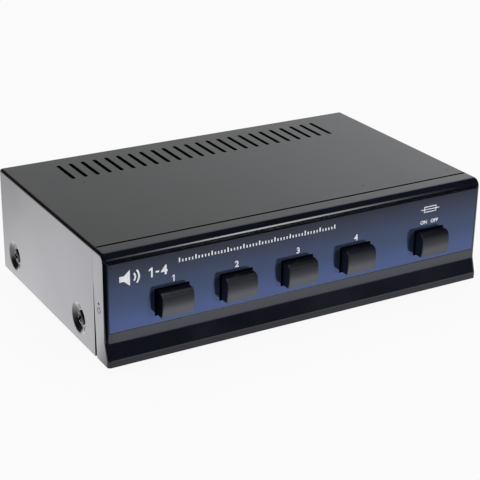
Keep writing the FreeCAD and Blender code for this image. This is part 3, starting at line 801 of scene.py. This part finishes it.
# where the print's signs stand, and their outlines as (x, z) or (left, right, low, high)
marks = {"hornX": -88.6, "hornZ": 39.6, "waveRadii": (2.6, 4.4), "waveX": 0.5, "waveWidth": 0.85,
         "waveSpread": 42, "waveSteps": 14, "rangeX": -74.5, "rangeZ": 37.6, "rangeHeight": 4.6,
         "ruleFrom": -64.4, "ruleTo": 15.8, "ruleZ": 41.9, "tickPitch": 1.6, "tickHeight": 1.3,
         "tallTick": 2.1, "tallEvery": 5, "tickWidth": 0.6, "stateX": 70.2, "stateZ": 34.3,
         "stateHeight": 1.9, "fuseX": 70.3, "fuseZ": 41.6,
         "horn": ((-4.4, -1.3), (-2.2, -1.3), (0.6, -3.7), (0.6, 3.7), (-2.2, 1.3), (-4.4, 1.3)),
         "fuse": ((-3.2, 3.2, 1.1, 1.5), (-3.2, 3.2, -1.5, -1.1), (-3.6, -3.2, -1.5, 1.5),
                  (3.2, 3.6, -1.5, 1.5), (-5.4, -3.6, -0.2, 0.2), (3.6, 5.4, -0.2, 0.2),
                  (-3.2, 3.2, -0.2, 0.2)),
         "digitOne": ((-0.06, 0.0), (0.12, 0.0), (0.12, 1.0), (-0.02, 1.0), (-0.28, 0.82), (-0.28, 0.64),
                      (-0.06, 0.76))}


def makeLabel():
    piece = pieceFrom("front_label_sheet", boxMesh(labelLow, labelHigh), "label_print")
    carve(piece, buttonOpenings(panelY + past))
    soften(piece, label["edge"])
    fit(piece, "front_label")


def printMesh(outline, x=0.0, z=0.0, scale=1.0):
    # an (x, z) outline made into a thin raised print on the panel's face
    spots = [((x + along * scale) * mm, baseZ + (z + up * scale) * mm) for along, up in outline]
    return loftMesh([[(across, y, up) for across, up in spots]
                     for y in (panelY - label["printLift"] * mm, panelY)])


def barMesh(left, right, low, high, x=0.0, z=0.0):
    return printMesh([(left, low), (right, low), (right, high), (left, high)], x, z)


def textMesh(words, height, x, z, faceY=panelY, facing=-1):
    # letters of the given height, their middle at x and their foot at z, on a face across y
    font = bpy.data.curves.new("words", "FONT")
    font.body = words
    font.extrude = 0.5
    font.offset = 0.03
    holder = added("words", font)
    depsgraph = bpy.context.evaluated_depsgraph_get()
    mesh = bpy.data.meshes.new_from_object(holder.evaluated_get(depsgraph))
    bpy.data.objects.remove(holder)
    xs = [vert.co.x for vert in mesh.vertices]
    ys = [vert.co.y for vert in mesh.vertices]
    scale = height * mm / (max(ys) - min(ys))
    middle = (max(xs) + min(xs)) / 2
    for vert in mesh.vertices:
        lift = label["printLift"] * mm if vert.co.z > 0 else 0.0
        vert.co = Vector((x * mm - facing * (vert.co.x - middle) * scale, faceY + facing * lift,
                          baseZ + z * mm + (vert.co.y - min(ys)) * scale))
    return reworked(mesh, clean)


def digitMesh(digit, height, x, z):
    if digit == "1":
        return printMesh(marks["digitOne"], x, z, height)
    return textMesh(digit, height, x, z)


def waveMesh(x, z, radius):
    half = marks["waveWidth"] / 2
    spread = marks["waveSpread"]
    steps = marks["waveSteps"]
    return printMesh(arcPoints((x, z), radius + half, -spread, spread, steps)
                     + arcPoints((x, z), radius - half, spread, -spread, steps))


def makePrint():
    m = marks
    shapes = [digitMesh(digit, label["digitHeight"], x, label["digitZ"])
              for digit, x in zip("1234", label["digitXs"])]
    shapes.append(printMesh(m["horn"], m["hornX"], m["hornZ"]))
    shapes += [waveMesh(m["hornX"] + m["waveX"], m["hornZ"], radius) for radius in m["waveRadii"]]
    tall = m["rangeHeight"]
    x, z = m["rangeX"], m["rangeZ"]
    shapes.append(digitMesh("1", tall, x - tall * 0.72, z))
    shapes.append(digitMesh("4", tall, x + tall * 0.6, z))
    shapes.append(barMesh(tall * -0.3, tall * 0.06, tall * 0.38, tall * 0.55, x, z))
    shapes.append(textMesh("ON   OFF", m["stateHeight"], m["stateX"], m["stateZ"]))
    shapes += [barMesh(*bar, m["fuseX"], m["fuseZ"]) for bar in m["fuse"]]
    half = m["tickWidth"] / 2
    for k in range(int((m["ruleTo"] - m["ruleFrom"]) / m["tickPitch"]) + 1):
        tall = m["tallTick"] if k % m["tallEvery"] == 0 else m["tickHeight"]
        shapes.append(barMesh(-half, half, 0.0, tall, m["ruleFrom"] + k * m["tickPitch"], m["ruleZ"]))
    fit(pieceFrom("front_label_print", joined("front_label_print", shapes), "print"))


makeLabel()
makePrint()
print("label made")


# ---- buttons

button = {"crown": 1.2, "topRadius": 3.0, "footRadius": 0.5, "edgeRadius": 0.5, "wall": 1.5,
          "bossSize": 6.0, "bossBack": 2.2, "socket": 3.0, "socketDepth": 6.6, "crownSteps": 18}


def buttonOutline(low, high, inset):
    # rear corners, then the rounded foot, the crowned face and the rounded top edge
    b = scaled(button)
    tall = high.z - low.z
    crownRadius = (tall * tall / 4 + b["crown"] * b["crown"]) / (2 * b["crown"])
    midZ = middle(low, high)[1]
    crownY = low.y + crownRadius
    angles = []
    centres = []
    for radius, edge in ((b["footRadius"], -1), (b["topRadius"], 1)):
        rise = tall / 2 - radius
        angles.append(math.degrees(math.asin(rise / (crownRadius - radius))))
        y = crownY - (crownRadius - radius) * math.cos(math.radians(angles[-1]))
        centres.append((y, midZ + edge * rise))
    foot = 180 + angles[0]
    top = 180 - angles[1]
    crown = arcPoints((crownY, midZ), crownRadius - inset, foot, top, button["crownSteps"])
    return ([(high.y, low.z + inset)] + arcPoints(centres[0], b["footRadius"] - inset, 270, foot, 6)
            + crown[1:] + arcPoints(centres[1], b["topRadius"] - inset, top, 90, 8)[1:]
            + [(high.y, high.z - inset)])


def makeButton(name):
    b = scaled(button)
    low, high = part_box(name)
    shape = roundedBarMesh(low.x, high.x, b["edgeRadius"], 4, lambda inset: buttonOutline(low, high, inset))
    piece = pieceFrom(name + "_cap", shape, "button_plastic")
    wall = b["wall"]
    face = low.y + b["crown"] + wall
    bossEnd = high.y - b["bossBack"]
    x, z = middle(low, high)
    carve(piece, [boxMesh((low.x + wall, face, low.z + wall), (high.x - wall, high.y + past, high.z - wall))])
    boss = ("UNION", b["bossSize"] / 2, face - wall / 2, bossEnd)
    socket = ("DIFFERENCE", b["socket"] / 2, bossEnd - b["socketDepth"], bossEnd + past)
    for operation, half, front, back in (boss, socket):
        carve(piece, [boxMesh((x - half, front, z - half), (x + half, back, z + half))], operation)
    body = name + "_body" if name == "protection_button" else "speaker_" + name + "_body"
    return fit(soften(piece), name, body)


buttonPieces = [makeButton(name) for name in buttonNames]
print("buttons made")


# ---- return springs, each with a mesh of its own (the real springs shorten as their button goes in)

spring = {"radius": 2.55, "wire": 0.25, "turns": 5.5, "stepsPerTurn": 20, "sides": 7, "keep": 0.47}


def makeSprings():
    wire = spring["wire"] * mm
    for name in buttonNames:
        low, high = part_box(name + "_return_spring")
        front, back = low.y + wire, high.y - wire
        x, z = middle(low, high)
        piece = grow(name + "_coil", coilSpring, {
            "Radius": spring["radius"] * mm, "Length": back - front, "Turns": spring["turns"],
            "Steps": spring["stepsPerTurn"], "Wire": wire, "Sides": spring["sides"],
            "Place": (x, front, z), "Turn": (-math.pi / 2, 0.0, 0.0),
            "Material": finishes["spring_steel"]})
        soften(piece, limit=50.0)
        fit(piece, name + "_return_spring")
        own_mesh(piece)


makeSprings()
print("springs made")


# ---- rear terminal blocks

terminal = {"wayPitch": 8.4, "pocket": 7.0, "pocketTop": 10.0, "pocketBottom": 5.8, "pocketDepth": 10.2,
            "flange": 2.0, "border": 1.0, "bodyHeight": 24.0, "holeDrop": 9.4, "hole": 1.7, "mouth": 2.5,
            "mouthDepth": 1.0, "chamber": 4.0, "chamberLow": 11.0, "pivotInset": 3.2, "pivotDrop": 2.0,
            "bore": 0.95, "boreHalf": 16.85, "screwOffset": 14.4, "screwHole": 1.4, "edge": 0.22,
            "tail": 2.0, "tailLift": 2.0, "leaf": 0.5, "overlap": 0.2}


def blockMesh():
    # made about the middle of its face, its rear face at y zero
    t = scaled(terminal)
    low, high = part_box(blockNames[0])
    wide = (high.x - low.x) / 2
    tall = (high.z - low.z) / 2
    deep = high.y - low.y
    inner = wide - t["border"]
    flange = t["flange"]
    half = t["bodyHeight"] / 2
    floor = -t["pocketDepth"]
    lap = t["overlap"]
    xs = [(way - 1.5) * t["wayPitch"] for way in range(4)]

    def row(width, y0, z0, y1, z1):
        return [boxMesh((x - width / 2, y0, z0), (x + width / 2, y1, z1)) for x in xs]

    piece = pieceFrom("block", boxMesh((-wide, -flange, -tall), (wide, 0, tall)), "terminal_plastic")
    carve(piece, [boxMesh((-inner, -deep, -half), (inner, -flange + lap, half))], "UNION")
    pockets = row(t["pocket"], floor, -t["pocketBottom"], past, t["pocketTop"])
    chambers = row(t["pocket"], floor, -t["chamberLow"], floor + t["chamber"], lap / 2 - t["pocketBottom"])
    slots = row(t["tail"], -deep - past, t["tailLift"], floor + past, t["tailLift"] + t["leaf"])
    profile = [(t["hole"], floor + lap), (t["hole"], -t["mouthDepth"]), (t["mouth"], 0.0),
               (t["mouth"], past)]
    holes = [rodMesh((x, 0, -t["holeDrop"]), (0, 1, 0), profile, 28) for x in xs]
    bore = rodMesh((-t["boreHalf"], -t["pivotInset"], t["pocketTop"] - t["pivotDrop"]), (1, 0, 0),
                   [(t["bore"], 0), (t["bore"], 2 * t["boreHalf"])], 20)
    screws = [rodMesh((0, -flange - past, way * t["screwOffset"]), (0, 1, 0),
                      [(t["screwHole"], 0), (t["screwHole"], flange + 2 * past)], 24) for way in (-1, 1)]
    for cutters in (pockets, chambers, holes, slots, [bore], screws):
        carve(piece, cutters)
    return meshOf(soften(piece, terminal["edge"]))


def makeBlocks():
    shape = blockMesh()
    for name in blockNames:
        low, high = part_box(name)
        x, z = middle(low, high)
        mesh = shape.copy()
        mesh.transform(Matrix.Translation((x, high.y, z)))
        fit(pieceFrom(name + "_moulding", mesh, "terminal_plastic"), name)


makeBlocks()
print("terminal blocks made")


rearPrint = {"words": ("1", "2", "3", "4", "IN"), "height": 2.8, "rise": 1.4}


def makeRearPrint():
    # a number above each speaker block, printed on the rear wall
    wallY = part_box("chassis_pan")[1].y
    shapes = []
    for words, name in zip(rearPrint["words"], blockNames):
        low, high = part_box(name)
        foot = (high.z - baseZ) / mm + rearPrint["rise"]
        shapes.append(textMesh(words, rearPrint["height"], middle(low, high)[0] / mm, foot, wallY, 1))
    fit(pieceFrom("rear_print", joined("rear_print", shapes), "print"))


makeRearPrint()
print("rear print made")


# ---- terminal levers

lever = {"width": 6.7, "pin": 0.9, "overhang": 0.6, "hub": 1.7, "pivotInset": 3.2, "shoulderReach": 1.2,
         "shoulderRise": 1.0, "thumbReach": 5.4, "thumbDrop": 9.4, "footDrop": 11.4, "nose": 2.8,
         "thickness": 0.4, "ribs": 5, "ribPitch": 1.05, "ribHeight": 0.35, "ribEnd": 0.9, "ribFoot": 0.34,
         "ribCrest": 0.14, "edge": 0.3}


def leverMesh():
    # made about its pivot; y runs back out of the block's face
    v = lever
    face = v["pivotInset"]
    thick = v["thickness"]
    start = Vector((face + v["shoulderReach"], v["shoulderRise"]))
    thumb = Vector((face + v["thumbReach"], -v["thumbDrop"]))
    along = (thumb - start).normalized()
    sink = Vector((-along.y, along.x)) * v["ribHeight"] * 0.7
    outline = [(0.0, v["hub"]), tuple(start)]
    for k in reversed(range(v["ribs"])):
        middle = thumb - along * (v["ribEnd"] + k * v["ribPitch"])
        for step, drop in ((-v["ribFoot"], 1), (-v["ribCrest"], 0), (v["ribCrest"], 0), (v["ribFoot"], 1)):
            outline.append(tuple(middle + along * step - sink * drop))
    outline += [tuple(thumb), (face + v["thumbReach"] - thick, -v["footDrop"]),
                (face + thick, -v["footDrop"] - thick), (-v["nose"], -v["footDrop"] - thick / 2),
                (-v["hub"], 0.0)]
    outline += arcPoints((0.0, 0.0), v["hub"], 180, 90, 6)[1:-1]
    half = v["width"] * mm / 2
    reach = half + v["overhang"] * mm
    pin = v["pin"] * mm
    piece = pieceFrom("lever", prismMesh([(y * mm, z * mm) for y, z in outline], -half, half), "lever_red")
    soften(piece, v["edge"], 2, 50.0)
    carve(piece, [rodMesh((-reach, 0, 0), (1, 0, 0), [(pin, 0), (pin, 2 * reach)], 24)], "UNION")
    return meshOf(soften(piece))


def makeLevers():
    shape = leverMesh()
    joints = {joint["name"]: joint for joint in frame["joints"]}
    for name in [block + "_lever_" + str(way) for block in blockNames for way in range(1, 5)]:
        mesh = shape.copy()
        mesh.transform(Matrix.Translation(joints[name + "_press"]["pos_m"]))
        slot = "lever_red" if name[-1] in "13" else "lever_black"
        fit(pieceFrom(name + "_key", mesh, slot), name, name + "_body")


makeLevers()
print("levers made")


# ---- terminal screws

terminalScrew = {"head": 2.8, "height": 1.8, "shank": 1.25, "length": 7.0, "recess": 1.9,
                 "recessWidth": 0.42, "recessDepth": 1.1, "domeFoot": 0.35, "sides": 28}


def makeTerminalScrews():
    places = []
    for name in blockNames:
        low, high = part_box(name)
        x, z = middle(low, high)
        places += [((x, high.y, z + side * terminal["screwOffset"] * mm), (0, 1, 0)) for side in (-1, 1)]
    piece = scatter("terminal_block_screws", screwShape(terminalScrew), places, "zinc_steel", 11)
    fit(piece, "terminal_screws")


makeTerminalScrews()
print("terminal screws made")


# ---- rubber feet

foot = {"radius": 6.35, "edge": 0.6, "dish": 3.4, "dishDepth": 1.1, "dishEdge": 0.4, "dishSlope": 0.2,
        "sides": 48}


def makeFeet():
    f = scaled(foot)
    low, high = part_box("rubber_feet")
    radius = f["radius"]
    dish = f["dish"]
    tall = high.z - low.z
    rim = arcPoints((radius - f["edge"], tall - f["edge"]), f["edge"], 0, 90, 5)
    profile = [(radius, 0.0)] + rim + [(dish + f["dishEdge"], tall), (dish, tall - 0.3 * mm),
                                       (dish - f["dishSlope"], tall - f["dishDepth"]),
                                       (0.3 * mm, tall - f["dishDepth"])]
    shape = rodMesh((0, 0, 0), (0, 0, 1), profile, foot["sides"])
    places = [((x, y, high.z), (0, 0, -1)) for x in (low.x + radius, high.x - radius)
              for y in (low.y + radius, high.y - radius)]
    fit(scatter("rubber_foot_set", shape, places, "foot_rubber", 3), "rubber_feet")


makeFeet()
print("feet made")


# ---- floor, light and camera

studio = {"floorSize": 24.0, "floorTone": 0.62, "floorWhite": 0.93, "surround": 0.04,
          "sky": {"place": (-0.1, 0.7, 2.2), "target": (-0.1, 0.7, 0), "size": 3.2, "power": 50.0},
          "side": {"place": (0.9, -1.4, 0.17), "target": (0, 0, 0.03), "size": 0.3, "power": 22.0}}

# cards seen only in reflections: place, the way the card faces, its width direction, its size,
# its peak brightness, and stops (position, share) across its width and up its height
plainCard = {"faces": (0, 0, 1), "across": (1, 0, 0), "acrossStops": [(0, 1), (1, 1)],
             "upStops": [(0, 1), (1, 1)]}
cards = {
    "rear": {"place": (1.15, 1.6, 1.3), "faces": (0, -1, 0), "size": (2.6, 2.4), "level": 1.05,
             "acrossStops": [(0, 0), (0.17, 0.55), (0.3, 0.58), (0.42, 0.7), (0.53, 0.85), (0.65, 1)],
             "tint": (0.985, 1, 1.02)},
    "left": {"place": (-0.1752, 0.198, 0.0015), "across": (-0.616, 0.788, 0), "size": (0.5, 0.2),
             "level": 1.98, "acrossStops": [(0, 1), (0.1, 1), (0.3, 0.96), (0.6, 0.86), (1, 0.78)],
             "upStops": [(0, 0), (0.05, 1), (0.27, 1), (0.4, 0.8), (0.53, 0.4), (1, 0.1)],
             "tint": (0.955, 0.95, 1.02)},
    "front": {"place": (0.1, -0.1065, 0.0015), "size": (0.4, 0.09), "level": 1.1,
              "acrossStops": [(0, 0), (0.05, 1), (0.3, 0.95), (0.6, 0.8), (1, 0.75)],
              "upStops": [(0, 0), (0.2, 0.08), (0.3, 0.95), (0.42, 0.95), (0.6, 0.4), (1, 0)],
              "tint": (0.9, 1, 1.2)},
    "crown": {"place": (-0.1, -0.15, 0.9), "faces": (0, 0, -1), "size": (0.9, 0.95), "level": 2.4,
              "acrossStops": [(0, 1), (0.6, 0.9), (1, 0.5)], "tint": (0.98, 1, 1.03)},
    "brow": {"place": (-0.1, -1.0, 0.75), "faces": (0, 1, 0), "across": (-1, 0, 0), "size": (1.8, 1.1),
             "level": 0.95, "upStops": [(0, 0.7), (1, 1)], "tint": (0.95, 1, 1.08)},
    "chin": {"place": (0.0, -0.1, 0.003), "size": (0.4, 0.07), "level": 1.0,
             "acrossStops": [(0, 1), (0.36, 1), (0.6, 0.72), (0.71, 0.42), (1, 0.3)],
             "upStops": [(0, 1), (0.35, 1), (0.6, 0.6), (1, 0)], "tint": (0.97, 1, 1.04)},
    "rim": {"place": (0.15, -0.366, 0.21), "faces": (-0.485, 0.875, 0), "across": (0.875, 0.485, 0),
            "size": (0.3, 0.12), "level": 13.0, "tint": (0.98, 1, 1),
            "acrossStops": [(0, 0), (0.16, 0.02), (0.22, 0.18), (0.3, 0.27), (0.38, 0.68), (0.45, 0.88),
                            (0.53, 1), (0.64, 0.78), (0.71, 0.68), (0.78, 0.42), (0.85, 0.22),
                            (0.92, 0.07), (1, 0.02)]},
}
# cards that light only some of the pieces
cardOnly = {"rim": [bezelPiece], "crown": buttonPieces, "brow": buttonPieces, "chin": buttonPieces}
# a black card lying before the left corner, which keeps the floor out of that corner's reflections
flag = [(-0.0848, -0.0991), (0.113, -0.5145), (-0.7, -0.6), (-0.7, 0.243), (-0.359, 0.243), (-0.137, -0.062)]


def lamp(name, width, height, power):
    data = bpy.data.lights.new(name, "AREA")
    data.shape = "RECTANGLE"
    data.size = width
    data.size_y = height
    data.energy = power
    made = added(name, data)
    made.visible_camera = False
    return made


def softBox(name, look):
    made = lamp(name, look["size"], look["size"], look["power"])
    made.location = look["place"]
    aim = Vector(look["target"]) - Vector(look["place"])
    made.rotation_euler = aim.to_track_quat("-Z", "Y").to_euler()
    made.visible_glossy = False


def card(name, look):
    width, height = look["size"]
    made = lamp(name, width, height, math.pi * width * height)
    away = -Vector(look["faces"])
    across = Vector(look["across"]).normalized()
    turn = Matrix((across, away.cross(across), away)).transposed()
    made.matrix_world = Matrix.Translation(look["place"]) @ turn.to_4x4()
    made.visible_diffuse = False
    if name in cardOnly:
        lit = bpy.data.collections.new(name + "_lit")
        for piece in cardOnly[name]:
            lit.objects.link(piece)
        made.light_linking.receiver_collection = lit
    made.data.use_nodes = True
    made.data.node_tree.nodes.clear()
    spot = Wire(made.data.node_tree).node("ShaderNodeNewGeometry", {}, 5)
    spot = spot.node("ShaderNodeSeparateXYZ", {"Vector": spot})
    strength = look["level"]
    for value, stops in ((spot, look["acrossStops"]), (spot.output(1), look["upStops"])):
        tones = [(at, grey(share)) for at, share in stops]
        strength = value.node("ShaderNodeValToRGB", {"Fac": value}, stops=tones) * strength
    glow = spot.node("ShaderNodeEmission", {"Color": colour(*look["tint"]), "Strength": strength})
    spot.node("ShaderNodeOutputLight", {"Surface": glow})


def makeFloor():
    material, shader, place = newFinish("studio_floor")
    cloud = noise(place, 0.35, 2.0).between(0.2, 0.8)
    feed(shader, {"Base Color": cloud.mix(grey(studio["floorTone"]), grey(studio["floorTone"] * 0.985)),
                  "Roughness": 0.9, "Specular IOR Level": 0.1})
    seen = place.node("ShaderNodeLightPath", {})
    seen = seen + seen.output("Is Glossy Ray") + seen.output("Is Transmission Ray")
    white = place.node("ShaderNodeEmission", {"Color": grey(1.0), "Strength": 1.0})
    lit = Wire(material.node_tree, shader.outputs[0])
    both = place.node("ShaderNodeMixShader", {0: seen * studio["floorWhite"], 1: lit, 2: white})
    feed(material.node_tree.nodes["Material Output"], {"Surface": both})
    half = studio["floorSize"] / 2
    corners = [(-half, -half, 0), (half, -half, 0), (half, half, 0), (-half, half, 0)]
    finishes["floor"] = material
    pieceFrom("floor", meshFrom("floor", corners, [(0, 1, 2, 3)]), "floor")


def makeFlag():
    material, shader, place = newFinish("black_card")
    feed(shader, {"Base Color": noise(place, 0.01).mix(grey(0.008), grey(0.012)), "Roughness": 0.95,
                  "Specular IOR Level": 0.0})
    finishes["black_card"] = material
    mesh = meshFrom("black_card", [(x, y, 1.0 * mm) for x, y in flag], [tuple(range(len(flag)))])
    black = pieceFrom("black_card", mesh, "black_card")
    black.visible_camera = False
    black.visible_diffuse = False
    black.visible_shadow = False


def makeLights():
    softBox("sky", studio["sky"])
    softBox("side", studio["side"])
    for name, look in cards.items():
        card(name, dict(plainCard, **look))
    world = bpy.data.worlds.new("studio")
    scene.world = world
    world.use_nodes = True
    feed(world.node_tree.nodes["Background"], {"Color": grey(1.0), "Strength": studio["surround"]})


shot = {"place": (-306.63, -465.96, 274.88), "forward": (0.46441, 0.79509, -0.39008), "roll": 0.9033,
        "focal": 1335.27, "frame": 480.0}


def makeCamera():
    data = bpy.data.cameras.new("camera")
    data.sensor_width = 36.0
    data.lens = shot["focal"] / shot["frame"] * data.sensor_width
    data.clip_start = 0.01
    camera = added("camera", data)
    x, y, z = shot["place"]
    camera.location = (x * mm, panelY + y * mm, baseZ + z * mm)
    aim = Vector(shot["forward"]).to_track_quat("-Z", "Y").to_matrix()
    camera.rotation_euler = (aim @ Matrix.Rotation(math.radians(shot["roll"]), 3, "Z")).to_euler()
    scene.camera = camera


makeFloor()
makeFlag()
makeLights()
makeCamera()
print("studio made")
